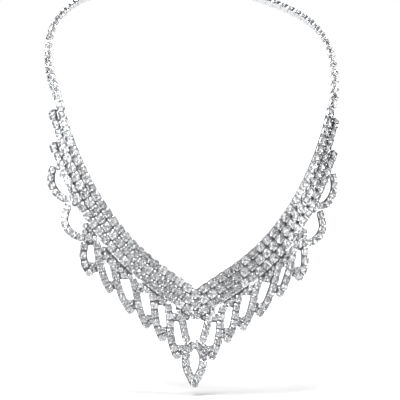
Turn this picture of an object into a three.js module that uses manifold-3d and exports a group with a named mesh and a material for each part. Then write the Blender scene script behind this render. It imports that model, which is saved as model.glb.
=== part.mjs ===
// A crystal collar necklace: three rows of cup chain soldered side by side in a V, nine pairs of leaf-shaped
// bands of smaller cup chain along the lower edge, a pointed leaf at the centre, and one row that runs on
// round the neck to a plain barrel clasp.
// Millimetres. +X is to the right as seen from the front, -Y is the front, +Z is up. The origin is the point
// of the nape that the clasp rests on. Left and right are as seen from the front.

import * as THREE from 'three';
import { mergeVertices } from 'three/addons/utils/BufferGeometryUtils.js';
import Module from 'manifold-3d';

const wasm = await Module();
wasm.setup();

// Driving dimensions.
const CLEARANCE = 0.3; // between two pieces that are soldered or hooked together on the real necklace
const ROW_PITCH = 3.7; // from one row of the collar to the next
const ROW_WIDTH = ROW_PITCH - CLEARANCE;
const ROW_DEPTH = 2.8; // from the back of a cup to the top of its stone
const CUP_PITCH = 4.5; // along a row
const BAND_WIDTH = 3; // of the smaller chain that the leaves are made of
const LINK_WIDTH = 2.7; // of the short links between the bands
const BAND_DEPTH = 2.4;
const BAND_STEP = 2.6; // along a band, so that its curve stays smooth
const CLOSING_WIDTH = 2.2; // of the single small cup that closes a leaf
const CUP_SIDES = 12;
const CLASP_LENGTH = 15;
const CLASP_RADIUS = 2.2;
const CLASP_NECK_RADIUS = 1.1;
const CLASP_NECK_LENGTH = 1.2;
const CLASP_SIDES = 20;

// The chest and the base of the neck that the collar lies on: flat in front, rounding back towards the sides
// as a superellipse of this power, and leaning back as it rises.
const CHEST = { halfWidth: 66, sideDepth: 40, power: 3, slope: 0.1, notchY: -100, notchZ: -127 };

// The inner row's centreline on the chest, from past the centre of the V up to the side of the neck.
const INNER_ROW = [
	{ x: -9.0, z: -135.3 },
	{ x: 0, z: -129.2 },
	{ x: 9.4, z: -122.9 },
	{ x: 19.5, z: -115.7 },
	{ x: 28.9, z: -107.0 },
	{ x: 37.1, z: -97.0 },
	{ x: 43.9, z: -86.5 },
	{ x: 49.5, z: -75.3 },
	{ x: 54.0, z: -63.7 },
	{ x: 57.2, z: -52.6 },
];

// The rows of the collar, each offset outward from the inner one. A row ends where its last cup stands, given
// as its height there.
const COLLAR_ROWS = [
	{ name: 'collar_row_inner', offset: 0, topZ: -52.6 },
	{ name: 'collar_row_middle', offset: 1, topZ: -54.9 },
	{ name: 'collar_row_outer', offset: 2, topZ: -66.2 },
];

// The back chain's centreline, from the collar round to the clasp. Its stones face away from the neck: turn is
// in degrees from straight ahead round towards the nape, and lift is the rise for each unit outward.
const BACK_CHAIN = [
	{ x: 58.3, y: -79.1, z: -48.7, turn: 44, lift: 0.15 },
	{ x: 59.4, y: -75.4, z: -45.2, turn: 46, lift: 0.25 },
	{ x: 60.2, y: -70.2, z: -40.4, turn: 50, lift: 0.3 },
	{ x: 60.4, y: -64.6, z: -34.4, turn: 56, lift: 0.35 },
	{ x: 59.8, y: -58.6, z: -28.0, turn: 64, lift: 0.4 },
	{ x: 57.6, y: -51.2, z: -21.6, turn: 75, lift: 0.4 },
	{ x: 53.0, y: -42.2, z: -15.8, turn: 90, lift: 0.4 },
	{ x: 45.0, y: -28.2, z: -10.4, turn: 110, lift: 0.35 },
	{ x: 32.4, y: -12.0, z: -5.4, turn: 138, lift: 0.25 },
	{ x: 18.8, y: -1.8, z: -2.0, turn: 160, lift: 0.2 },
	{ x: 8.0, y: 1.6, z: -0.4, turn: 175, lift: 0.1 },
];
const CHAIN_START = { turn: 43, lift: 0.1 };

// Leaf bands, numbered from the neck down to the centre, as centrelines on the chest. A band that closes its
// leaf with one more cup gives that cup's place.
const LEAF_BANDS = [
	{
		points: [[58.8, -79.7], [59.5, -83.6], [59.2, -87.2], [57.4, -90.4], [54.6, -92.5], [51.7, -92.3]],
	},
	{
		points: [[52.4, -94.9], [53.7, -98.4], [54.0, -102.0], [52.4, -105.2], [49.4, -107.4], [46.0, -108.0], [42.9, -107.2]],
	},
	{
		points: [[45.7, -110.0], [46.2, -113.8], [46.0, -117.0], [45.0, -120.2], [42.8, -123.3]],
		cup: [42.4, -119.8],
	},
	{
		points: [[41.0, -109.4], [40.4, -113.8], [39.6, -117.8], [38.4, -121.8], [36.9, -125.8], [34.5, -129.8]],
	},
	{
		points: [[34.9, -116.1], [33.8, -120.2], [32.7, -124.4], [31.4, -128.4], [29.4, -133.0], [26.0, -137.9]],
		cup: [26.8, -133.6],
	},
	{
		points: [[26.0, -124.0], [24.8, -128.2], [23.9, -132.4], [22.9, -136.4], [21.4, -140.0], [19.2, -143.7]],
		cup: [19.6, -139.2],
	},
	{
		points: [[18.0, -129.8], [17.1, -134.4], [16.5, -138.6], [15.4, -143.4], [12.8, -148.8]],
		cup: [13.1, -144.2],
	},
	{
		points: [[11.6, -134.0], [10.7, -138.0], [10.3, -142.0], [10.0, -146.0], [9.1, -150.4], [6.7, -155.8]],
		cup: [6.1, -151.6],
	},
	{
		points: [[5.8, -137.8], [5.1, -141.4], [4.3, -144.9], [3.0, -149.0]],
	},
];

// Short links, each between a band and the next one towards the middle, just below the collar.
const LEAF_LINKS = [
	{ band: 4, from: [37.6, -115.0], to: [36.3, -115.4] },
	{ band: 5, from: [30.3, -121.0], to: [29.0, -124.2] },
	{ band: 6, from: [22.1, -127.4], to: [19.7, -129.1] },
	{ band: 7, from: [14.8, -132.3], to: [12.9, -133.5] },
	{ band: 8, from: [8.8, -139.1], to: [7.4, -138.9] },
];

// One half of the leaf at the centre, from its top round to its point.
const CENTRE_LEAF = [
	{ x: -1.9, z: -148.4 },
	{ x: 0, z: -149.6 },
	{ x: 2.4, z: -151.8 },
	{ x: 3.6, z: -155.4 },
	{ x: 3.2, z: -159.4 },
	{ x: 1.5, z: -163.2 },
	{ x: 0, z: -165.8 },
	{ x: -1.5, z: -168.4 },
];

const RHODIUM = { color: 0xc9ccd0, metalness: 1, roughness: 0.25 };
const CRYSTAL = { color: 0xf2f4f6, metalness: 0.1, roughness: 0.08 };

const SIDES = [
	{ name: 'left', sign: -1 },
	{ name: 'right', sign: 1 },
];

// ---- the chest ----

function chestPoint( x, z ) {

	const across = Math.abs( x / CHEST.halfWidth ) ** CHEST.power;
	const back = CHEST.sideDepth * ( 1 - ( 1 - across ) ** ( 1 / CHEST.power ) );
	return new THREE.Vector3( x, CHEST.notchY + back + CHEST.slope * ( z - CHEST.notchZ ), z );

}

function chestNormal( x ) {

	const across = Math.abs( x / CHEST.halfWidth );
	const flatness = ( 1 - across ** CHEST.power ) ** ( 1 / CHEST.power - 1 );
	const sideways = CHEST.sideDepth / CHEST.halfWidth * across ** ( CHEST.power - 1 ) * flatness;
	return new THREE.Vector3( Math.sign( x ) * sideways, - 1, CHEST.slope ).normalize();

}

// ---- strands: curves that know which way their stones face ----

function smoothCurve( points ) {

	return new THREE.CatmullRomCurve3( points, false, 'catmullrom', 0.5 );

}

// ExtrudeGeometry asks a path for its frames. These keep the section's Y axis in the facing direction.
class Strand extends THREE.Curve {

	facing() {

		throw new Error( 'each kind of strand says which way it faces' );

	}

	frame( t ) {

		const tangent = this.getTangent( t );
		const facing = this.facing( t );
		facing.addScaledVector( tangent, - facing.dot( tangent ) ).normalize();
		return { tangent, facing, across: facing.clone().cross( tangent ) };

	}

	computeFrenetFrames( segments ) {

		const frames = { tangents: [], normals: [], binormals: [] };
		for ( let i = 0; i <= segments; i ++ ) {

			const { tangent, facing, across } = this.frame( this.getUtoTmapping( i / segments ) );
			frames.tangents.push( tangent );
			frames.normals.push( across );
			frames.binormals.push( facing );

		}

		return frames;

	}

}

// A strand that lies on the chest. Its points are [x, z], and sign mirrors it to the left.
class ChestStrand extends Strand {

	constructor( points, sign = 1 ) {

		super();
		this.chart = smoothCurve( points.map( ( [ x, z ] ) => new THREE.Vector3( sign * x, 0, z ) ) );

	}

	getPoint( t, target = new THREE.Vector3() ) {

		const place = this.chart.getPoint( t );
		return target.copy( chestPoint( place.x, place.z ) );

	}

	facing( t ) {

		return chestNormal( this.chart.getPoint( t ).x );

	}

}

// A row of the collar: the inner row pushed outward across the chest, as far up as topZ.
class CollarRow extends Strand {

	constructor( inner, distance, topZ ) {

		super();
		this.inner = inner;
		this.distance = distance;
		this.end = heightToParameter( inner, topZ );

	}

	getPoint( t, target = new THREE.Vector3() ) {

		const s = t * this.end;
		const moved = this.inner.getPoint( s ).addScaledVector( this.inner.frame( s ).across, - this.distance );
		return target.copy( chestPoint( moved.x, moved.z ) );

	}

	facing( t ) {

		return chestNormal( this.getPoint( t ).x );

	}

}

// The back chain on one side: points in space, each with the direction that it faces.
class BackChain extends Strand {

	constructor( rows, sign ) {

		super();
		this.line = smoothCurve( rows.map( ( { x, y, z } ) => new THREE.Vector3( sign * x, y, z ) ) );
		this.facings = rows.map( ( { turn, lift } ) => {

			const angle = THREE.MathUtils.degToRad( turn );
			return new THREE.Vector3( sign * Math.sin( angle ), - Math.cos( angle ), lift );

		} );

	}

	getPoint( t, target = new THREE.Vector3() ) {

		return this.line.getPoint( t, target );

	}

	facing( t ) {

		const place = t * ( this.facings.length - 1 );
		const i = Math.min( Math.floor( place ), this.facings.length - 2 );
		return this.facings[ i ].clone().lerp( this.facings[ i + 1 ], place - i );

	}

}

// Where a strand that rises all the way reaches a height, by halving.
function heightToParameter( strand, z ) {

	let low = 0;
	let high = 1;
	for ( let i = 0; i < 40; i ++ ) {

		const middle = ( low + high ) / 2;
		if ( strand.getPoint( middle ).z < z ) low = middle;
		else high = middle;

	}

	return ( low + high ) / 2;

}

// ---- solids ----

function strip( strand, width, depth, step ) {

	const section = new THREE.Shape();
	section.moveTo( - width / 2, - depth / 2 );
	section.lineTo( width / 2, - depth / 2 );
	section.lineTo( width / 2, depth / 2 );
	section.lineTo( - width / 2, depth / 2 );
	section.closePath();
	const steps = Math.max( 1, Math.round( strand.getLength() / step ) );
	return new THREE.ExtrudeGeometry( section, { steps, extrudePath: strand } );

}

// A single cup, standing on the chest at [x, z].
function cup( [ x, z ], width, depth ) {

	const geometry = new THREE.CylinderGeometry( width / 2, width / 2, depth, CUP_SIDES );
	const up = new THREE.Vector3( 0, 1, 0 );
	geometry.applyQuaternion( new THREE.Quaternion().setFromUnitVectors( up, chestNormal( x ) ) );
	const place = chestPoint( x, z );
	return geometry.translate( place.x, place.y, place.z );

}

function toManifold( geometry ) {

	const bare = geometry.clone();
	bare.deleteAttribute( 'normal' );
	bare.deleteAttribute( 'uv' );
	const merged = mergeVertices( bare, 1e-4 );
	return new wasm.Manifold( new wasm.Mesh( {
		numProp: 3,
		vertProperties: new Float32Array( merged.attributes.position.array ),
		triVerts: new Uint32Array( merged.index.array ),
	} ) );

}

function toGeometry( solid ) {

	const mesh = solid.getMesh();
	const geometry = new THREE.BufferGeometry();
	geometry.setAttribute( 'position', new THREE.BufferAttribute( mesh.vertProperties, 3 ) );
	geometry.setIndex( new THREE.BufferAttribute( mesh.triVerts, 1 ) );
	geometry.computeVertexNormals();
	return geometry;

}

// Trims a solid at the middle plane and joins it to its own mirror image, so that the two meet in a mitre.
function mirroredAcrossMiddle( geometry ) {

	const side = 400;
	const overlap = 0.01;
	const keep = new THREE.BoxGeometry( side, side, side ).translate( side / 2 - overlap, 0, 0 );
	const half = toManifold( geometry ).intersect( toManifold( keep ) );
	return toGeometry( half.add( half.mirror( [ 1, 0, 0 ] ) ) );

}

// ---- the necklace ----

const necklace = new THREE.Group();

function addPiece( name, geometry, look ) {

	const mesh = new THREE.Mesh( geometry, new THREE.MeshStandardMaterial( look ) );
	mesh.name = name;
	necklace.add( mesh );

}

function addCollar( inner ) {

	for ( const { name, offset, topZ } of COLLAR_ROWS ) {

		const row = new CollarRow( inner, offset * ROW_PITCH, topZ );
		const half = strip( row, ROW_WIDTH, ROW_DEPTH, CUP_PITCH );
		addPiece( name, mirroredAcrossMiddle( half ), CRYSTAL );

	}

}

function addBackChains( inner ) {

	const start = inner.getPoint( 1 ).addScaledVector( inner.getTangent( 1 ), CLEARANCE );
	const rows = [ { x: start.x, y: start.y, z: start.z, ...CHAIN_START }, ...BACK_CHAIN ];
	for ( const { name, sign } of SIDES ) {

		const chain = new BackChain( rows, sign );
		addPiece( `back_chain_${ name }`, strip( chain, ROW_WIDTH, ROW_DEPTH, CUP_PITCH ), CRYSTAL );

	}

}

function addLeafBands() {

	for ( const { name, sign } of SIDES ) {

		LEAF_BANDS.forEach( ( { points, cup: closing }, i ) => {

			const band = strip( new ChestStrand( points, sign ), BAND_WIDTH, BAND_DEPTH, BAND_STEP );
			let solid = toManifold( band );
			if ( closing ) {

				const place = [ sign * closing[ 0 ], closing[ 1 ] ];
				solid = solid.add( toManifold( cup( place, CLOSING_WIDTH, BAND_DEPTH ) ) );

			}

			addPiece( `leaf_band_${ i + 1 }_${ name }`, toGeometry( solid ), CRYSTAL );

		} );

	}

}

function addLeafLinks() {

	for ( const { name, sign } of SIDES ) {

		for ( const { band, from, to } of LEAF_LINKS ) {

			const link = strip( new ChestStrand( [ from, to ], sign ), LINK_WIDTH, BAND_DEPTH, BAND_STEP );
			addPiece( `leaf_link_${ band }_${ name }`, link, CRYSTAL );

		}

	}

}

function addCentreLeaf() {

	const half = new ChestStrand( CENTRE_LEAF.map( ( { x, z } ) => [ x, z ] ) );
	addPiece( 'centre_leaf', mirroredAcrossMiddle( strip( half, BAND_WIDTH, BAND_DEPTH, BAND_STEP ) ), CRYSTAL );

}

function addClasp() {

	const end = CLASP_LENGTH / 2;
	const shoulder = end - CLASP_NECK_LENGTH;
	const chamfer = CLASP_RADIUS - CLASP_NECK_RADIUS;
	const outline = [
		[ 0, - end ],
		[ CLASP_NECK_RADIUS, - end ],
		[ CLASP_NECK_RADIUS, - shoulder ],
		[ CLASP_RADIUS, - shoulder + chamfer ],
		[ CLASP_RADIUS, shoulder - chamfer ],
		[ CLASP_NECK_RADIUS, shoulder ],
		[ CLASP_NECK_RADIUS, end ],
		[ 0, end ],
	].map( ( [ x, y ] ) => new THREE.Vector2( x, y ) );
	const barrel = new THREE.LatheGeometry( outline, CLASP_SIDES );
	barrel.rotateZ( Math.PI / 2 ).translate( 0, CLASP_RADIUS, 0 );
	addPiece( 'clasp', barrel, RHODIUM );

}

const inner = new ChestStrand( INNER_ROW.map( ( { x, z } ) => [ x, z ] ) );
addCollar( inner );
addBackChains( inner );
addLeafBands();
addLeafLinks();
addCentreLeaf();
addClasp();

export default necklace;
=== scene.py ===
"""The looks of a crystal collar necklace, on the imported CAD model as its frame.

Each packed strip of cup chain is replaced by its claw cups, by the faceted stones in them and by the thin
sheet behind them. They stand along the same centrelines as the strips. Lengths in the tables are in
millimetres, and every object is in metres. +X is to the right as seen from the front, -Y is the front and
+Z is up.
"""

import math
import random

import bpy
import numpy as np
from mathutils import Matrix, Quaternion, Vector


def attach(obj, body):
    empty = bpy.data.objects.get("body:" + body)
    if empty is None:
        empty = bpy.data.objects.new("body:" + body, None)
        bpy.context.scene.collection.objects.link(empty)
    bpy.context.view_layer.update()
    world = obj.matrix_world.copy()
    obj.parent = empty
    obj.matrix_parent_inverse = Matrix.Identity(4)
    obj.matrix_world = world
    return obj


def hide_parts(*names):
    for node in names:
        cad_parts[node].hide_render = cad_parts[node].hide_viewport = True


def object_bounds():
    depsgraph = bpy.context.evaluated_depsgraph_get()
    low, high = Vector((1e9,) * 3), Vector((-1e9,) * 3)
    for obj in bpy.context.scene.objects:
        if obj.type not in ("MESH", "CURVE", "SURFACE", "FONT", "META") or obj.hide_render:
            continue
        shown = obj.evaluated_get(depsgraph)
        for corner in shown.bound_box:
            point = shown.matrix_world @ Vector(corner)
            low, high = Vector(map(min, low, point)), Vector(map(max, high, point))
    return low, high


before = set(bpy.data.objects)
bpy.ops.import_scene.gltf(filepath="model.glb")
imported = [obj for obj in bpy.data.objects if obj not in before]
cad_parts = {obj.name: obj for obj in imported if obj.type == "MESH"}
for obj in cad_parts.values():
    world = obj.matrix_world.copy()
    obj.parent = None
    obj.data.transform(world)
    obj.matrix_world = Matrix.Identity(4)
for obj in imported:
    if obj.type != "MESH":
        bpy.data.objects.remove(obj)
cad_low, cad_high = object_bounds()

MM = 0.001
ALMOST = 1e-6  # a sample this near to a limit counts as on it
SIDES = {"left": -1, "right": 1}

# ---- the necklace's form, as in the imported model, in millimetres ----

CHEST = {
    "half_width": 66,
    "side_depth": 40,
    "power": 3,
    "slope": 0.1,
    "notch_y": -100,
    "notch_z": -127,
}

# The inner row's centreline on the chest: x and z.
INNER_ROW = [
    (-9.0, -135.3),
    (0, -129.2),
    (9.4, -122.9),
    (19.5, -115.7),
    (28.9, -107.0),
    (37.1, -97.0),
    (43.9, -86.5),
    (49.5, -75.3),
    (54.0, -63.7),
    (57.2, -52.6),
]
ROW_PITCH = 3.7
# Name, how many rows outward from the inner one, height of its end, and how far its last cup stands out.
COLLAR_ROWS = [
    ("collar_row_inner", 0, -52.6, 0),
    ("collar_row_middle", 1, -54.9, 0.7),
    ("collar_row_outer", 2, -66.2, 0.7),
]

# x, y, z, the turn of the stones from straight ahead in degrees, and their lift for each unit outward.
BACK_CHAIN = [
    (57.3, -80.6, -52.3, 43, 0.1),
    (58.3, -79.1, -48.7, 44, 0.15),
    (59.4, -75.4, -45.2, 46, 0.25),
    (60.2, -70.2, -40.4, 50, 0.3),
    (60.4, -64.6, -34.4, 56, 0.35),
    (59.8, -58.6, -28.0, 64, 0.4),
    (57.6, -51.2, -21.6, 75, 0.4),
    (53.0, -42.2, -15.8, 90, 0.4),
    (45.0, -28.2, -10.4, 110, 0.35),
    (32.4, -12.0, -5.4, 138, 0.25),
    (18.8, -1.8, -2.0, 160, 0.2),
    (8.0, 1.6, -0.4, 175, 0.1),
]
CLASP_REACH = 0.4  # how far the last tab goes on past the chain's end, into the clasp

# Each band's centreline, x and z, and the place of the cup that closes its leaf.
LEAF_BANDS = [
    (
        [(58.8, -79.7), (59.5, -83.6), (59.2, -87.2), (57.4, -90.4), (54.6, -92.5), (51.7, -92.3)],
        None,
    ),
    (
        [
            (52.4, -94.9),
            (53.7, -98.4),
            (54.0, -102.0),
            (52.4, -105.2),
            (49.4, -107.4),
            (46.0, -108.0),
            (42.9, -107.2),
        ],
        None,
    ),
    (
        [(45.7, -110.0), (46.2, -113.8), (46.0, -117.0), (45.0, -120.2), (42.8, -123.3)],
        (42.4, -119.8),
    ),
    (
        [(41.0, -109.4), (40.4, -113.8), (39.6, -117.8), (38.4, -121.8), (36.9, -125.8), (34.5, -129.8)],
        None,
    ),
    (
        [(34.9, -116.1), (33.8, -120.2), (32.7, -124.4), (31.4, -128.4), (29.4, -133.0), (26.0, -137.9)],
        (26.8, -133.6),
    ),
    (
        [(26.0, -124.0), (24.8, -128.2), (23.9, -132.4), (22.9, -136.4), (21.4, -140.0), (19.2, -143.7)],
        (19.6, -139.2),
    ),
    (
        [(18.0, -129.8), (17.1, -134.4), (16.5, -138.6), (15.4, -143.4), (12.8, -148.8)],
        (13.1, -144.2),
    ),
    (
        [(11.6, -134.0), (10.7, -138.0), (10.3, -142.0), (10.0, -146.0), (9.1, -150.4), (6.7, -155.8)],
        (6.1, -151.6),
    ),
    (
        [(5.8, -137.8), (5.1, -141.4), (4.3, -144.9), (3.0, -149.0)],
        None,
    ),
]

# Band, and the link's two ends.
LEAF_LINKS = [
    (4, (37.6, -115.0), (36.3, -115.4)),
    (5, (30.3, -121.0), (29.0, -124.2)),
    (6, (22.1, -127.4), (19.7, -129.1)),
    (7, (14.8, -132.3), (12.9, -133.5)),
    (8, (8.8, -139.1), (7.4, -138.9)),
]

# Each leaf's hole, as the heights of its top and bottom, between its own band and the next one.
LEAF_HOLES = {
    3: (-110.8, -117.8),
    4: (-118.0, -125.2),
    5: (-123.9, -132.5),
    6: (-129.4, -138.5),
    7: (-134.4, -143.0),
    8: (-140.8, -150.4),
}
LOWEST_LEAF = 8
# Every second leaf from the fourth has a smaller eye just below the collar too. It reaches this share of the
# way across, and down to this height.
LEAF_EYES = {4: (0.55, -111.6), 6: (0.55, -125.3), 8: (0.6, -137.4)}
HOLE_ROUNDING = 1.6  # how much lower or higher a hole ends at its sides than in its middle

# Band, and the x and z of a small cup on a disc that joins the band's end to the collar or to the next band.
JOINING_CUPS = [
    (1, 57.0, -79.8),
    (1, 55.6, -82.6),
    (1, 50.0, -90.6),
    (2, 50.2, -94.2),
    (2, 43.4, -105.0),
    (3, 43.4, -109.4),
    (9, 5.0, -136.6),
    (9, 3.5, -138.9),
]

CENTRE_LEAF = [
    (-1.9, -148.4),
    (0, -149.6),
    (2.4, -151.8),
    (3.6, -155.4),
    (3.2, -159.4),
    (1.5, -163.2),
    (0, -165.8),
    (-1.5, -168.4),
]

# ---- sizes of the cups, in millimetres ----

# A cup's half width is across the chain and its half length along it.
LARGE = {"half_width": 1.84, "half_length": 1.98, "stone": 1.78, "depth": 2.8, "pitch": 4.05}
SMALL = {"half_width": 1.58, "half_length": 1.53, "stone": 1.44, "depth": 2.4, "pitch": 3.1}
CHAIN_PITCH = 4.8  # the back chain's cups stand a little further apart than the collar's
BAND_OVERHANG = 0.15  # how far a band's end cups reach past its centreline
LINK_HALF_WIDTH = 1.35
LINK_LEAST_HALF_LENGTH = 1.1
CLOSING_RADIUS = 1.12
JOINING_RADII = (0.6, 1.3)  # the least and the most
ONE_MORE = 0.15  # a run takes one more cup where no more than this share of a pitch is missing

CUP_SIDES = 24
CUP_SQUARENESS = 4  # the power of the cup's superelliptic outline
ROUND_SQUARENESS = 2.4  # of the small single cups and of the leaves' tips
RIM_LEVEL = 0.14  # a cup's rim above its middle, as a share of its depth
ROUND_STONE = 0.93  # a stone's share of its cup, in the small single cups
LINK_STONE = 0.94
CLAW_TAPER = 0.45  # the share of its width that a claw loses towards its tip
TAB_INSET = 0.6  # where a tab starts, as a share of the cup's half length from its middle
SHARP_ANGLE = 35  # the metal's edges are sharp from this angle, in degrees
TILT = 8.0  # the most that a stone leans each way in its cup, in degrees

# ---- sizes of the backing sheet and of the small cups on it, in millimetres ----

SHEET_THICKNESS = 0.13  # as a share of the cup's depth, as is the level
SHEET_LEVEL = -0.43
COLLAR_SHEET_EDGE = 1.35  # how far it reaches from the centreline on the collar's free sides
BAND_SHEET_EDGE = 1.55
BAND_END_SHARE = 0.5  # of the sheet's width at a band's two ends
SHEET_STEP = 6  # samples of a centreline from one section of the sheet to the next
DISC_SIDES = 16
DISC_MARGIN = 0.8  # how far a disc reaches past its cup

WEB_COLUMNS = 21
WEB_ROWS = 4
WEB_OVERLAP = 0.92  # a web climbs to this share of the half width from the outer row's centreline
WEB_SEARCH = (-3, 8, 0.1)  # heights about the band's top where a web's upper edge is looked for, and the step
WEB_EDGE_SAMPLES = 41
TIP_MARGIN = 0.6  # how far above its band's tip a web ends
TIP_RISE = 1.6  # and how much higher that is at the next band

FILLER_RADII = (1.15, 0.95, 0.75, 0.6)  # of the cups on the webs above and below the holes
FILLER_COLUMNS = 21
FILLER_STEP = 0.2
FILLER_ROOM = 0.95  # the share of its radius that a filler cup has to itself
FILLER_SUPPORT = 0.7  # the share of its radius that has the web behind it
FILLER_RISE = 0.3  # how far that share may reach past the web's upper edge

chance = random.Random(7)


# ---- centrelines ----


def unit(vectors):
    return vectors / np.linalg.norm(vectors, axis=-1, keepdims=True)


def chest_point(x, z):
    across = abs(x / CHEST["half_width"]) ** CHEST["power"]
    back = CHEST["side_depth"] * (1 - (1 - across) ** (1 / CHEST["power"]))
    return np.array([x, CHEST["notch_y"] + back + CHEST["slope"] * (z - CHEST["notch_z"]), z])


def chest_normal(x):
    across = abs(x / CHEST["half_width"])
    power = CHEST["power"]
    flatness = (1 - across**power) ** (1 / power - 1)
    sideways = CHEST["side_depth"] / CHEST["half_width"] * across ** (power - 1) * flatness
    return unit(np.array([math.copysign(sideways, x), -1, CHEST["slope"]]))


def smooth_curve(points, steps=24):
    """A Catmull-Rom curve through the points, sampled evenly in its parameter."""
    p = np.array(points, dtype=float)
    p = np.vstack([2 * p[0] - p[1], p, 2 * p[-1] - p[-2]])
    t = np.linspace(0, 1, steps, endpoint=False)[:, None]
    runs = []
    for a, b, c, d in zip(p, p[1:], p[2:], p[3:]):
        start, end = (c - a) / 2, (d - b) / 2
        square = 3 * (c - b) - 2 * start - end
        cube = 2 * (b - c) + start + end
        runs.append(b + start * t + square * t**2 + cube * t**3)
    return np.vstack(runs + [p[-2:-1]])


class Route:
    """A centreline with the direction that its stones face, both sampled along it."""

    def __init__(self, points, facings):
        self.points = np.asarray(points)
        self.tangents = unit(np.gradient(self.points, axis=0))
        facings = np.asarray(facings)
        lean = np.sum(facings * self.tangents, axis=1, keepdims=True)
        self.facings = unit(facings - lean * self.tangents)
        steps = np.linalg.norm(np.diff(self.points, axis=0), axis=1)
        self.distances = np.concatenate([[0], np.cumsum(steps)])
        self.length = self.distances[-1]

    def mirrored(self):
        flip = np.array([-1, 1, 1])
        return Route(self.points * flip, self.facings * flip)

    def at(self, distance):
        """The seat of a cup at a distance along the route: its place, tangent and facing."""
        values = []
        for samples in (self.points, self.tangents, self.facings):
            values.append(np.array([np.interp(distance, self.distances, samples[:, i]) for i in range(3)]))
        return values[0], unit(values[1]), unit(values[2])


def chest_route(points):
    chart = smooth_curve(points)
    return Route([chest_point(x, z) for x, z in chart], [chest_normal(x) for x, z in chart])


def right_half(route):
    """The part of a route from the middle plane to its end."""
    first = int(np.argmax(route.points[:, 0] > 0))
    before, after = route.points[first - 1], route.points[first]
    share = -before[0] / (after[0] - before[0])
    start = before + share * (after - before)
    return np.vstack([start, route.points[first:]])


def collar_route(offset, top_z):
    """A collar row's right half, which is the inner row moved outward and laid on the chest again."""
    inner = chest_route(INNER_ROW)
    outward = np.cross(inner.tangents, inner.facings)
    moved = inner.points + outward * offset * ROW_PITCH
    moved = moved[inner.points[:, 2] <= top_z + ALMOST]
    on_chest = Route([chest_point(x, z) for x, _, z in moved], [chest_normal(x) for x in moved[:, 0]])
    half = right_half(on_chest)
    return Route(half, [chest_normal(x) for x in half[:, 0]])


def back_route():
    points = smooth_curve([row[:3] for row in BACK_CHAIN])
    place = np.linspace(0, len(BACK_CHAIN) - 1, len(points))
    turns = np.radians([row[3] for row in BACK_CHAIN])
    lifts = [row[4] for row in BACK_CHAIN]
    corners = np.column_stack([np.sin(turns), -np.cos(turns), lifts])
    rows = np.arange(len(BACK_CHAIN))
    facings = np.column_stack([np.interp(place, rows, corners[:, i]) for i in range(3)])
    return Route(points, facings)


def seat_at(x, z):
    """The seat of an upright cup on the chest."""
    facing = chest_normal(x)
    up = np.array([0, 0, 1.0])
    return chest_point(x, z), unit(up - facing * np.dot(up, facing)), facing


def band_x(points, z):
    """Where a band's centreline passes a height. Beyond its ends it goes on straight up or down."""
    chart = smooth_curve(points)
    order = np.argsort(chart[:, 1])
    return float(np.interp(z, chart[order, 1], chart[order, 0]))


def between(outer, inner, share, z):
    """The x at a share of the way from one band to the other, at a height."""
    return (1 - share) * band_x(outer, z) + share * band_x(inner, z)


def evenly(length, pitch, first, last):
    """Distances along a length, from first to length - last, spaced evenly at about the pitch."""
    span = length - first - last
    count = int(span / pitch + ONE_MORE)
    if count < 1:
        return [length / 2]
    return [first + span * k / count for k in range(count + 1)]


# ---- one cup and one stone, in millimetres about the middle of the cup, facing +Z ----


def round_kind(radius):
    return {
        "half_width": radius,
        "half_length": radius,
        "stone": ROUND_STONE * radius,
        "depth": SMALL["depth"],
        "squareness": ROUND_SQUARENESS,
    }


def rim_height(kind):
    return kind["depth"] * RIM_LEVEL


def outline(kind, angle):
    """How far a cup's squarish outline is from its middle, in a direction."""
    power = kind.get("squareness", CUP_SQUARENESS)
    across = abs(math.cos(angle) / kind["half_width"]) ** power
    along = abs(math.sin(angle) / kind["half_length"]) ** power
    return (across + along) ** (-1 / power)


def joined(parts):
    verts, faces = [], []
    for part_verts, part_faces in parts:
        base = len(verts)
        verts.extend(part_verts)
        faces.extend(tuple(base + i for i in face) for face in part_faces)
    return verts, faces


# The corners of a bar's section, sideways and outward. They go clockwise as seen from the bar's end.
CORNERS = ((-1, -1), (1, -1), (1, 1), (-1, 1))


def bar_faces(sections):
    """The faces of a closed bar, from how many sections it has."""
    faces = []
    for i in range(sections - 1):
        for k in range(4):
            a, b = 4 * i + k, 4 * i + (k + 1) % 4
            faces.append((b, a, a + 4, b + 4))
    last = 4 * (sections - 1)
    faces.append((0, 1, 2, 3))
    faces.append((last + 3, last + 2, last + 1, last))
    return faces


def bowl_mesh(kind, profile):
    """Rings of (share of the outline, height) from one end to the other. A share of 0 closes an end."""
    verts, faces, rings = [], [], []
    angles = [2 * math.pi * (k + 0.5) / CUP_SIDES for k in range(CUP_SIDES)]
    for share, height in profile:
        if share == 0:
            rings.append([len(verts)])
            verts.append((0, 0, height))
            continue
        rings.append(list(range(len(verts), len(verts) + CUP_SIDES)))
        for angle in angles:
            radius = share * outline(kind, angle)
            verts.append((radius * math.cos(angle), radius * math.sin(angle), height))
    for low, high in zip(rings, rings[1:]):
        for k in range(CUP_SIDES):
            n = (k + 1) % CUP_SIDES
            if len(low) == 1:
                faces.append((low[0], high[n], high[k]))
            elif len(high) == 1:
                faces.append((low[k], low[n], high[0]))
            else:
                faces.append((low[k], low[n], high[n], high[k]))
    return verts, faces


def claw_mesh(angle, path, width, thickness):
    """A flat claw swept along a path of (radius, height) at an angle round the cup."""
    verts = []
    out = np.array([math.cos(angle), math.sin(angle), 0])
    side = np.array([-math.sin(angle), math.cos(angle), 0])
    path = np.array(path, dtype=float)
    along = unit(np.gradient(path, axis=0))
    for i, ((radius, height), (outward, upward)) in enumerate(zip(path, along)):
        narrow = 1 - CLAW_TAPER * i / (len(path) - 1)
        centre = out * radius + np.array([0, 0, height])
        normal = out * upward - np.array([0, 0, outward])
        for a, b in CORNERS:
            verts.append(tuple(centre + side * a * width / 2 * narrow + normal * b * thickness / 2))
    return verts, bar_faces(len(path))


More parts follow.
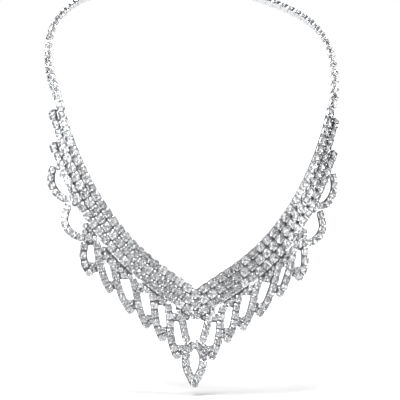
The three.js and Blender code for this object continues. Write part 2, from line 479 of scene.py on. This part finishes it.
def cup_mesh(kind):
    """A squarish bowl with a claw at each corner, bent over the stone's edge."""
    depth, stone = kind["depth"], kind["stone"]
    bottom, rim = -depth / 2, rim_height(kind)
    bowl = bowl_mesh(
        kind,
        [
            (0, bottom),
            (0.72, bottom),
            (0.84, bottom + 0.1 * depth),
            (0.98, rim - 0.14 * depth),
            (1, rim),
            (0.91, rim),
            (0.6, bottom + 0.3 * depth),
            (0, bottom + 0.25 * depth),
        ],
    )
    corner = math.atan2(kind["half_length"], kind["half_width"])
    reach = outline(kind, corner)
    path = [
        (0.93 * reach, rim - 0.3 * depth),
        (0.97 * reach, rim + 0.02 * depth),
        (0.93 * reach, rim + 0.13 * depth),
        (0.98 * stone, rim + 0.2 * depth),
        (0.8 * stone, rim + 0.24 * depth),
    ]
    angles = (corner, math.pi - corner, math.pi + corner, -corner)
    width, thickness = 0.4 * stone, 0.13 * stone
    claws = [claw_mesh(angle, path, width, thickness) for angle in angles]
    return joined([bowl, *claws])


def stone_mesh(kind):
    """A round brilliant: crown faces first, then the pavilion's. Returns the crown's number of faces too."""
    girdle = kind["stone"]
    table = 0.56 * girdle
    crown_height = 0.36 * girdle
    pavilion_depth = 0.86 * girdle
    level = rim_height(kind) + 0.02 * kind["depth"]
    half_step = math.pi / 8

    def ring(radius, height, count, phase):
        angles = [2 * math.pi * k / count + phase for k in range(count)]
        return [(radius * math.cos(a), radius * math.sin(a), level + height) for a in angles]

    # These heights of the rings between keep each kite flat.
    crown_mid = 0.8 * girdle
    crown_mid_height = crown_height * (girdle - crown_mid * math.cos(half_step)) / (girdle - table)
    pavilion_mid = 0.42 * girdle
    pavilion_mid_height = -pavilion_depth * (girdle - pavilion_mid * math.cos(half_step)) / girdle
    verts = ring(table, crown_height, 8, 0)
    verts += ring(crown_mid, crown_mid_height, 8, half_step)
    verts += ring(girdle, 0, 16, 0)
    verts += ring(pavilion_mid, pavilion_mid_height, 8, half_step)
    verts.append((0, 0, level - pavilion_depth))
    table_ring, crown_ring, girdle_ring, pavilion_ring, culet = 0, 8, 16, 32, 40
    crown = [tuple(range(8))]
    pavilion = []
    for k in range(8):
        after, before = (k + 1) % 8, (k - 1) % 8
        corner, middle, far_corner = (girdle_ring + (2 * k + i) % 16 for i in range(3))
        crown.append((table_ring + k, crown_ring + k, table_ring + after))
        crown.append((table_ring + k, crown_ring + before, corner, crown_ring + k))
        crown.append((crown_ring + k, corner, middle))
        crown.append((crown_ring + k, middle, far_corner))
        pavilion.append((culet, pavilion_ring + k, corner, pavilion_ring + before))
        pavilion.append((pavilion_ring + k, middle, corner))
        pavilion.append((pavilion_ring + k, far_corner, middle))
    return verts, crown + pavilion, len(crown)


# ---- tabs and sheet between the cups, in place ----


def link_mesh(start, end, facing, kind):
    """A flat tab that joins two cups at their backs."""
    along = unit(end - start)
    side = unit(np.cross(along, facing))
    out = np.cross(side, along)
    half_width, thickness = 0.45 * kind["half_width"], 0.16 * kind["depth"]
    level = -0.3 * kind["depth"]
    verts = []
    for place in (start, end):
        for a, b in CORNERS:
            verts.append(tuple(place + side * a * half_width + out * (level + b * thickness / 2)))
    return verts, bar_faces(2)


def plate_mesh(route, kind, edges, end_share):
    """The thin sheet that the cups of a run are soldered to, between two edges on either side of it.

    At its two ends the sheet has only a share of its width.
    """
    picked = sorted({*range(0, len(route.points), SHEET_STEP), len(route.points) - 1})
    points, tangents, facings = (values[picked] for values in (route.points, route.tangents, route.facings))
    shares = [end_share] + [1.0] * (len(picked) - 2) + [end_share]
    thickness = SHEET_THICKNESS * kind["depth"]
    level = SHEET_LEVEL * kind["depth"]
    verts = []
    for place, tangent, out, share in zip(points, tangents, facings, shares):
        side = np.cross(tangent, out) * share
        for a, b in CORNERS:
            edge = edges[1] if a > 0 else -edges[0]
            verts.append(tuple(place + side * edge + out * (level + b * thickness / 2)))
    return verts, bar_faces(len(picked))


def web_mesh(web, sign):
    """A thin sheet behind the gap between two bands, on the side that the sign says."""
    outer, inner, top, bottom = web
    verts = []
    for share in np.linspace(0, 1, WEB_COLUMNS):
        for z in np.linspace(bottom(share), top(share), WEB_ROWS):
            x = sign * between(outer, inner, share, z)
            place, out = chest_point(x, z), chest_normal(x)
            for b in (-1, 1):
                verts.append(tuple(place + out * SMALL["depth"] * (SHEET_LEVEL + b * SHEET_THICKNESS / 2)))

    def index(column, row, b):
        return (column * WEB_ROWS + row) * 2 + b

    # These faces look outward on the left side.
    faces = []
    last, high = WEB_COLUMNS - 1, WEB_ROWS - 1
    for i in range(last):
        for j in range(high):
            for b, order in ((1, 1), (0, -1)):
                corners = ((i, j), (i + 1, j), (i + 1, j + 1), (i, j + 1))
                faces.append(tuple(index(column, row, b) for column, row in corners)[::order])
        faces.append((index(i, 0, 0), index(i + 1, 0, 0), index(i + 1, 0, 1), index(i, 0, 1)))
        faces.append((index(i, high, 1), index(i + 1, high, 1), index(i + 1, high, 0), index(i, high, 0)))
    for j in range(high):
        faces.append((index(0, j, 1), index(0, j + 1, 1), index(0, j + 1, 0), index(0, j, 0)))
        faces.append((index(last, j, 0), index(last, j + 1, 0), index(last, j + 1, 1), index(last, j, 1)))
    return verts, faces if sign < 0 else [face[::-1] for face in faces]


def disc_mesh(seat, radius, sign):
    """A round piece of the same sheet, behind a cup that joins two pieces. Its seat is on the right side."""
    place, tangent, facing = seat
    side = np.cross(tangent, facing)
    verts = []
    for b in (-1, 1):
        level = SMALL["depth"] * (SHEET_LEVEL + b * SHEET_THICKNESS / 2)
        for k in range(DISC_SIDES):
            angle = 2 * math.pi * k / DISC_SIDES
            around = math.cos(angle) * side + math.sin(angle) * tangent
            verts.append(place + radius * around + level * facing)
    faces = [tuple(range(DISC_SIDES - 1, -1, -1)), tuple(range(DISC_SIDES, 2 * DISC_SIDES))]
    for k in range(DISC_SIDES):
        n = (k + 1) % DISC_SIDES
        faces.append((k, n, n + DISC_SIDES, k + DISC_SIDES))
    return np.array(verts) * (sign, 1, 1), faces if sign > 0 else [face[::-1] for face in faces]


# ---- the pieces of a run ----


def placed(mesh, seat, spin=0.0, lean=(0.0, 0.0)):
    """The mesh moved to its seat, spun about its own axis and leaning by two small angles."""
    place, tangent, facing = seat
    side = np.cross(tangent, facing)
    upright = unit(facing + math.tan(lean[0]) * side + math.tan(lean[1]) * tangent)
    ahead = unit(tangent - upright * np.dot(tangent, upright))
    right = np.cross(ahead, upright)
    v = np.array(mesh[0])
    c, s = math.cos(spin), math.sin(spin)
    x, y = v[:, 0] * c - v[:, 1] * s, v[:, 0] * s + v[:, 1] * c
    moved = place + np.outer(x, right) + np.outer(y, ahead) + np.outer(v[:, 2], upright)
    return moved, mesh[1]


def make_object(name, verts, faces, materials):
    mesh = bpy.data.meshes.new(name)
    mesh.from_pydata((np.array(verts) * MM).tolist(), [], faces)
    mesh.update()
    piece = bpy.data.objects.new(name, mesh)
    bpy.context.collection.objects.link(piece)
    for material in materials:
        mesh.materials.append(material)
    return piece


def smooth_by_angle(piece, degrees):
    mesh = piece.data
    mesh.polygons.foreach_set("use_smooth", [True] * len(mesh.polygons))
    mesh.set_sharp_from_angle(angle=math.radians(degrees))


class CupChain:
    """The cups, tabs, backing sheet and stones of one run, gathered for two joined meshes."""

    def __init__(self, kind):
        self.kind = kind
        self.metal = []
        self.sheet = []
        self.stones = []
        self.foil = []

    def add_cup(self, seat, kind=None):
        kind = kind or self.kind
        stone_verts, stone_faces, crown_faces = stone_mesh(kind)
        lean = (math.radians(chance.uniform(-TILT, TILT)), math.radians(chance.uniform(-TILT, TILT)))
        spin = chance.uniform(0, math.pi / 4)
        self.metal.append(placed(cup_mesh(kind), seat))
        self.stones.append(placed((stone_verts, stone_faces), seat, spin, lean))
        self.foil.extend(i >= crown_faces for i in range(len(stone_faces)))

    def add_cups(self, cups, sign):
        """Cups given on the right side, as their seats and kinds, on either side."""
        flip = np.array([sign, 1, 1])
        for seat_on_right, kind in cups:
            self.add_cup([vector * flip for vector in seat_on_right], kind)

    def add_links(self, seats):
        """Tabs between each cup and the next."""
        for (start, _, facing), (end, _, _) in zip(seats, seats[1:]):
            inset = unit(end - start) * self.kind["half_length"] * TAB_INSET
            self.metal.append(link_mesh(start + inset, end - inset, facing, self.kind))

    def add_both_sides(self, seats):
        """Cups and tabs on the right and, mirrored, on the left. The first cup stands on the middle plane."""
        flip = np.array([-1, 1, 1])
        seats = [(seats[0][0], np.array([1.0, 0, 0]), seats[0][2]), *seats[1:]]
        mirrored = [(place * flip, tangent * flip, facing * flip) for place, tangent, facing in seats]
        for side in (seats, mirrored):
            self.add_links(side)
        for seat in seats + mirrored[1:]:
            self.add_cup(seat)

    def add_plate(self, route, edges, end_share=1.0):
        self.sheet.append(plate_mesh(route, self.kind, edges, end_share))

    def build(self, node):
        # The backing sheet's faces take the dark painted-shade material, which draws dark gaps and outlines
        # between the cups.
        metal = make_object(f"{node}_cups", *joined(self.metal + self.sheet), [rhodium, painted_shade_metal])
        bright = sum(len(faces) for _, faces in self.metal)
        painted_shade_faces = len(metal.data.polygons) - bright
        metal.data.polygons.foreach_set("material_index", np.repeat([0, 1], [bright, painted_shade_faces]))
        smooth_by_angle(metal, SHARP_ANGLE)
        stones = make_object(f"{node}_stones", *joined(self.stones), [crystal, foil])
        stones.data.polygons.foreach_set("material_index", np.array(self.foil, dtype=int))
        for piece in (metal, stones):
            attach(piece, "root")
        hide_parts(node)


# ---- materials ----


def new_material(name):
    material = bpy.data.materials.new(name)
    material.use_nodes = True
    nodes = material.node_tree.nodes
    return material, nodes, material.node_tree.links, nodes["Principled BSDF"]


def noise(nodes, scale, detail):
    texture = nodes.new("ShaderNodeTexNoise")
    texture.inputs["Scale"].default_value = scale
    texture.inputs["Detail"].default_value = detail
    return texture


def tone_ramp(nodes, *stops):
    """A ramp between two stops, each a position and a colour."""
    ramp = nodes.new("ShaderNodeValToRGB")
    for element, (position, colour) in zip(ramp.color_ramp.elements, stops):
        element.position = position
        element.color = (*colour, 1)
    return ramp


def map_range(nodes, source, target):
    """A node that maps one range of values to another."""
    node = nodes.new("ShaderNodeMapRange")
    node.inputs["From Min"].default_value, node.inputs["From Max"].default_value = source
    node.inputs["To Min"].default_value, node.inputs["To Max"].default_value = target
    return node


def product(nodes, links, first, second):
    """The output that multiplies two others."""
    node = nodes.new("ShaderNodeMath")
    node.operation = "MULTIPLY"
    links.new(first, node.inputs[0])
    links.new(second, node.inputs[1])
    return node.outputs["Value"]


def tint_each_stone(nodes, links, shader, first, last):
    """A base colour between two that differs from stone to stone."""
    stone = nodes.new("ShaderNodeNewGeometry")
    tint = tone_ramp(nodes, (0, first), (1, last))
    links.new(stone.outputs["Random Per Island"], tint.inputs["Fac"])
    links.new(tint.outputs["Color"], shader.inputs["Base Color"])


def make_rhodium():
    """Bright plating with fine polishing marks and patches that are duller than the rest."""
    material, nodes, links, shader = new_material("rhodium_plate")
    shader.inputs["Metallic"].default_value = 1.0
    patches = noise(nodes, 900, 4)
    tone = tone_ramp(nodes, (0.3, (0.56, 0.57, 0.59)), (0.7, (0.82, 0.83, 0.84)))
    links.new(patches.outputs["Fac"], tone.inputs["Fac"])
    links.new(tone.outputs["Color"], shader.inputs["Base Color"])
    polish = map_range(nodes, (0, 1), (0.14, 0.34))
    links.new(patches.outputs["Fac"], polish.inputs["Value"])
    links.new(polish.outputs["Result"], shader.inputs["Roughness"])
    marks = noise(nodes, 4200, 2)
    bump = nodes.new("ShaderNodeBump")
    bump.inputs["Strength"].default_value = 0.12
    bump.inputs["Distance"].default_value = 0.00008
    links.new(marks.outputs["Fac"], bump.inputs["Height"])
    links.new(bump.outputs["Normal"], shader.inputs["Normal"])
    return material


def make_painted_shade_sheet():
    """The rough backing sheet between the cups, coloured dark all over as painted shade between the cups, in
    random patches of near black and dark grey.
    """
    material, nodes, links, shader = new_material("backing_sheet_painted_shade")
    shader.inputs["Metallic"].default_value = 1.0
    # Painted shade: random patches from near black to dark grey stand in for the shade between the cups.
    painted_shade_patches = noise(nodes, 1500, 3)
    tone = tone_ramp(nodes, (0.35, (0.05, 0.05, 0.052)), (0.65, (0.36, 0.36, 0.37)))
    links.new(painted_shade_patches.outputs["Fac"], tone.inputs["Fac"])
    links.new(tone.outputs["Color"], shader.inputs["Base Color"])
    shader.inputs["Roughness"].default_value = 0.45
    return material


def make_crystal():
    """Clear cut glass. Each stone has a trace of a tint of its own."""
    material, nodes, links, shader = new_material("cut_crystal")
    shader.inputs["Transmission Weight"].default_value = 1.0
    shader.inputs["IOR"].default_value = 1.62
    shader.inputs["Roughness"].default_value = 0.0
    tint_each_stone(nodes, links, shader, (1.0, 0.985, 0.955), (0.965, 0.985, 1.0))
    return material


def make_foil():
    """The mirror foil on the back of each stone, lighter on some than on others."""
    material, nodes, links, shader = new_material("mirror_foil")
    shader.inputs["Metallic"].default_value = 1.0
    tint_each_stone(nodes, links, shader, (0.78, 0.79, 0.81), (0.95, 0.95, 0.95))
    shader.inputs["Roughness"].default_value = 0.03
    return material


rhodium = make_rhodium()
# The backing sheet's material, dark as painted shade.
painted_shade_metal = make_painted_shade_sheet()
crystal = make_crystal()
foil = make_foil()


# ---- collar and back chains ----


def add_collar():
    for name, offset, top_z, outward in COLLAR_ROWS:
        route = collar_route(offset, top_z)
        chain = CupChain(LARGE)
        seats = [route.at(d) for d in evenly(route.length, LARGE["pitch"], 0, LARGE["pitch"] / 2)]
        place, tangent, facing = seats[-1]
        seats[-1] = (place + outward * np.cross(tangent, facing), tangent, facing)
        chain.add_both_sides(seats)
        inward_edge = LARGE["half_width"] if offset > 0 else COLLAR_SHEET_EDGE
        outward_edge = LARGE["half_width"] if offset < len(COLLAR_ROWS) - 1 else COLLAR_SHEET_EDGE
        chain.add_plate(route, (inward_edge, outward_edge))
        chain.add_plate(route.mirrored(), (outward_edge, inward_edge))
        chain.build(name)


def add_back_chains():
    for side, sign in SIDES.items():
        route = back_route() if sign > 0 else back_route().mirrored()
        chain = CupChain(LARGE)
        seats = [route.at(d) for d in evenly(route.length, CHAIN_PITCH, CHAIN_PITCH / 2, CHAIN_PITCH / 2)]
        chain.add_links(seats)
        # Tabs to the collar's inner row and into the clasp.
        row = collar_route(0, COLLAR_ROWS[0][2])
        collar_end = row.at(row.length - LARGE["pitch"] / 2)[0] * (sign, 1, 1)
        first, last = seats[0], seats[-1]
        clasp_end = route.points[-1] + CLASP_REACH * last[1]
        chain.metal.append(link_mesh(collar_end, first[0], first[2], LARGE))
        chain.metal.append(link_mesh(last[0], clasp_end, last[2], LARGE))
        for seat in seats:
            chain.add_cup(seat)
        chain.build(f"back_chain_{side}")


# ---- leaves ----


def band_cups(points, closing):
    """The cups of a band on the right side, as their seats and kinds."""
    route = chest_route(points)
    end = SMALL["half_length"] - BAND_OVERHANG
    cups = [(route.at(d), SMALL) for d in evenly(route.length, SMALL["pitch"], end, end)]
    cups[-1] = (cups[-1][0], {**SMALL, "squareness": ROUND_SQUARENESS})
    if closing:
        cups.append((seat_at(*closing), round_kind(CLOSING_RADIUS)))
    return cups


def link_cups(start, end):
    """The single cup that fills a link."""
    route = chest_route([start, end])
    half_length = max(route.length / 2, LINK_LEAST_HALF_LENGTH)
    kind = {
        "half_width": LINK_HALF_WIDTH,
        "half_length": half_length,
        "stone": LINK_STONE * min(LINK_HALF_WIDTH, half_length),
        "depth": SMALL["depth"],
    }
    return [(route.at(route.length / 2), kind)]


def outer_row_points():
    _, offset, top_z, _ = COLLAR_ROWS[-1]
    return collar_route(offset, top_z).points


def leaf_webs(number):
    """A leaf's two webs, each as its two bands and its top and bottom by the share of the way across."""
    outer, inner = LEAF_BANDS[number - 1][0], LEAF_BANDS[number][0]
    if number == LOWEST_LEAF:
        inner = inner + CENTRE_LEAF[3:5]
    hole_top, hole_bottom = LEAF_HOLES[number]
    eye_share, eye_bottom = LEAF_EYES.get(number, (0, 0))
    head, tip = outer[0][1], outer[-1][1]
    collar = outer_row_points()

    def collar_edge(share):
        """Where the web reaches the collar, or ends below the eye."""
        if share < eye_share:
            return eye_bottom
        low, high, step = WEB_SEARCH
        z = head + low
        while z < head + high:
            place = chest_point(between(outer, inner, share, z), z)
            if np.linalg.norm(collar - place, axis=1).min() < WEB_OVERLAP * LARGE["half_width"]:
                break
            z += step
        return z

    shares = np.linspace(0, 1, WEB_EDGE_SAMPLES)
    edges = [collar_edge(share) for share in shares]

    def rounding(share):
        return HOLE_ROUNDING * (2 * share - 1) ** 2

    upper = (
        outer,
        inner,
        lambda share: np.interp(share, shares, edges),
        lambda share: hole_top - rounding(share),
    )
    lower = (
        outer,
        inner,
        lambda share: hole_bottom + rounding(share),
        lambda share: tip + TIP_MARGIN + TIP_RISE * share,
    )
    return upper, lower


def covers(web, x, z, radius):
    """Whether the web, or a band beside it, lies behind most of a cup."""
    outer, inner, top, bottom = web
    reach = FILLER_SUPPORT * radius
    for edge_x, edge_z in ((x - reach, z), (x + reach, z), (x, z - reach), (x, z + reach)):
        start, end = band_x(outer, edge_z), band_x(inner, edge_z)
        share = (edge_x - start) / (end - start)
        if 0 <= share <= 1 and not bottom(share) <= edge_z <= top(share) + FILLER_RISE:
            return False
    return True


class TakenPlaces:
    """The places and radii of the cups laid so far, and of the collar's outer row."""

    def __init__(self, cups):
        collar = outer_row_points()
        self.places = list(collar)
        self.radii = [LARGE["half_width"]] * len(collar)
        for (place, _, _), kind in cups:
            self.add(place, min(kind["half_width"], kind["half_length"]))

    def add(self, place, radius):
        self.places.append(place)
        self.radii.append(radius)

    def room_at(self, place):
        return (np.linalg.norm(np.array(self.places) - place, axis=1) - self.radii).min()


def filler_cups(web, taken):
    """Small cups on a web, the largest first, where they clear the others."""
    outer, inner, top, bottom = web
    cups = []
    for radius in FILLER_RADII:
        for share in np.linspace(0, 1, FILLER_COLUMNS):
            for z in np.arange(bottom(share) + FILLER_SUPPORT * radius, top(share), FILLER_STEP):
                x = between(outer, inner, share, z)
                if taken.room_at(chest_point(x, z)) > FILLER_ROOM * radius and covers(web, x, z, radius):
                    cups.append((seat_at(x, z), round_kind(radius)))
                    taken.add(chest_point(x, z), radius)
    return cups


def add_leaves():
    bands = {number: band_cups(*band) for number, band in enumerate(LEAF_BANDS, 1)}
    links = {number: link_cups(start, end) for number, start, end in LEAF_LINKS}
    taken = TakenPlaces(sum([*bands.values(), *links.values()], []))
    discs = {number: [] for number in bands}
    least, most = JOINING_RADII
    for number, x, z in JOINING_CUPS:
        radius = min(max(taken.room_at(chest_point(x, z)), least), most)
        bands[number].append((seat_at(x, z), round_kind(radius)))
        discs[number].append((seat_at(x, z), radius + DISC_MARGIN))
        taken.add(chest_point(x, z), radius)
    webs = {number: leaf_webs(number) for number in LEAF_HOLES}
    for number in webs:
        for web in webs[number]:
            bands[number] += filler_cups(web, taken)
    for side, sign in SIDES.items():
        for number, cups in bands.items():
            chain = CupChain(SMALL)
            route = chest_route([(sign * x, z) for x, z in LEAF_BANDS[number - 1][0]])
            chain.add_plate(route, (BAND_SHEET_EDGE, BAND_SHEET_EDGE), BAND_END_SHARE)
            chain.sheet.extend(web_mesh(web, sign) for web in webs.get(number, ()))
            chain.sheet.extend(disc_mesh(seat, radius, sign) for seat, radius in discs[number])
            chain.add_cups(cups, sign)
            chain.build(f"leaf_band_{number}_{side}")
        for number, cups in links.items():
            chain = CupChain(SMALL)
            chain.add_cups(cups, sign)
            chain.build(f"leaf_link_{number}_{side}")


def add_centre_leaf():
    whole = chest_route(CENTRE_LEAF)
    inside = whole.points[:, 0] >= -ALMOST
    route = Route(whole.points[inside], whole.facings[inside])
    chain = CupChain(SMALL)
    seats = [route.at(d) for d in evenly(route.length, SMALL["pitch"], 0, 0)]
    tip = seats.pop()
    chain.add_both_sides(seats)
    chain.add_cup((tip[0], np.array([1.0, 0, 0]), tip[2]))
    edges = (BAND_SHEET_EDGE, BAND_SHEET_EDGE)
    chain.add_plate(route, edges)
    chain.add_plate(route.mirrored(), edges)
    chain.build("centre_leaf")


def finish_clasp():
    """The clasp's own shape is right, so it only gets the plating."""
    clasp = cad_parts["clasp"]
    clasp.data.materials.clear()
    clasp.data.materials.append(rhodium)


# ---- stage, light and camera ----


def direction(azimuth, elevation):
    """The way from the necklace to a place round it. Azimuth 0 is in front, and 90 is at its right."""
    a, e = math.radians(azimuth), math.radians(elevation)
    return Vector((math.sin(a) * math.cos(e), -math.cos(a) * math.cos(e), math.sin(e)))


def make_paper():
    """White paper, lit evenly to the horizon, that still takes a soft shadow close to the necklace."""
    material, nodes, links, shader = new_material("white_paper")
    shader.inputs["Base Color"].default_value = (0.82, 0.82, 0.82, 1)
    shader.inputs["Roughness"].default_value = 0.9
    shader.inputs["Emission Color"].default_value = (1, 1, 1, 1)
    place = nodes.new("ShaderNodeTexCoord")
    far = nodes.new("ShaderNodeVectorMath")
    far.operation = "LENGTH"
    links.new(place.outputs["Object"], far.inputs[0])
    glow = map_range(nodes, (0.07, 0.3), (0.0, 1.05))
    links.new(far.outputs["Value"], glow.inputs["Value"])
    rays = nodes.new("ShaderNodeLightPath")
    seen = product(nodes, links, glow.outputs["Result"], rays.outputs["Is Camera Ray"])
    links.new(seen, shader.inputs["Emission Strength"])
    return material


def add_floor():
    floor_level = cad_low.z - 0.002
    bpy.ops.mesh.primitive_circle_add(
        vertices=96, radius=6, fill_type="NGON", location=(0, -0.06, floor_level)
    )
    floor = bpy.context.object
    floor.name = "floor"
    floor.data.materials.append(make_paper())


def area_light(name, azimuth, elevation, distance, size, power):
    """A soft light that looks at the necklace."""
    back = direction(azimuth, elevation)
    data = bpy.data.lights.new(name, "AREA")
    data.shape = "RECTANGLE"
    data.size, data.size_y = size
    data.energy = power
    light = bpy.data.objects.new(name, data)
    bpy.context.collection.objects.link(light)
    light.location = (cad_low + cad_high) / 2 + back * distance
    light.rotation_mode = "QUATERNION"
    light.rotation_quaternion = (-back).to_track_quat("-Z", "Y")


def make_world():
    """A studio of white panels and dark gaps for the facets to mirror. The camera itself sees plain white."""
    world = bpy.data.worlds.new("studio")
    bpy.context.scene.world = world
    world.use_nodes = True
    nodes, links = world.node_tree.nodes, world.node_tree.links
    room = nodes["Background"]
    room.inputs["Color"].default_value = (1, 1, 1.01, 1)
    # The room is dark behind the necklace, which draws the cups' edges in grey against the white.
    place = nodes.new("ShaderNodeTexCoord")
    parts = nodes.new("ShaderNodeSeparateXYZ")
    links.new(place.outputs["Generated"], parts.inputs["Vector"])
    dimming = map_range(nodes, (-1.0, 0.4), (1.45, 0.25))
    links.new(parts.outputs["Y"], dimming.inputs["Value"])
    panels = noise(nodes, 5, 1)
    links.new(place.outputs["Generated"], panels.inputs["Vector"])
    contrast = map_range(nodes, (0.47, 0.54), (0.02, 0.76))
    links.new(panels.outputs["Fac"], contrast.inputs["Value"])
    glow = product(nodes, links, dimming.outputs["Result"], contrast.outputs["Result"])
    links.new(glow, room.inputs["Strength"])
    white = nodes.new("ShaderNodeBackground")
    white.inputs["Color"].default_value = (1, 1, 1, 1)
    rays = nodes.new("ShaderNodeLightPath")
    choice = nodes.new("ShaderNodeMixShader")
    links.new(rays.outputs["Is Camera Ray"], choice.inputs["Fac"])
    links.new(room.outputs["Background"], choice.inputs[1])
    links.new(white.outputs["Background"], choice.inputs[2])
    links.new(choice.outputs["Shader"], nodes["World Output"].inputs["Surface"])


CAMERA = {
    "azimuth": -8,
    "elevation": 3,
    "roll": 1.95,
    "distance": 1.2,
    "target": (6.0, -60, -93.07),
    "lens": 255.6,
}


def add_camera():
    back = direction(CAMERA["azimuth"], CAMERA["elevation"])
    camera = bpy.data.objects.new("camera", bpy.data.cameras.new("camera"))
    bpy.context.collection.objects.link(camera)
    camera.data.lens = CAMERA["lens"]
    camera.data.clip_start = 0.01
    camera.location = Vector(CAMERA["target"]) * MM + back * CAMERA["distance"]
    camera.rotation_mode = "QUATERNION"
    roll = Quaternion((0, 0, 1), math.radians(CAMERA["roll"]))
    camera.rotation_quaternion = (-back).to_track_quat("-Z", "Y") @ roll
    bpy.context.scene.camera = camera
    bpy.context.scene.view_settings.view_transform = "Standard"


# ---- the whole scene ----

add_collar()
add_back_chains()
add_leaves()
add_centre_leaf()
finish_clasp()

add_floor()
area_light("key", -35, 45, 1.2, (0.6, 0.45), 8.8)
area_light("fill", 50, 15, 1.3, (0.3, 0.7), 3.2)
area_light("top", 0, 80, 1.1, (0.35, 0.35), 7)
area_light("low_left", -70, -2, 1.2, (0.35, 0.5), 4.2)
area_light("behind_left", -125, 20, 1.2, (0.6, 0.6), 6)
area_light("behind_right", 125, 20, 1.2, (0.6, 0.6), 6)
make_world()
add_camera()
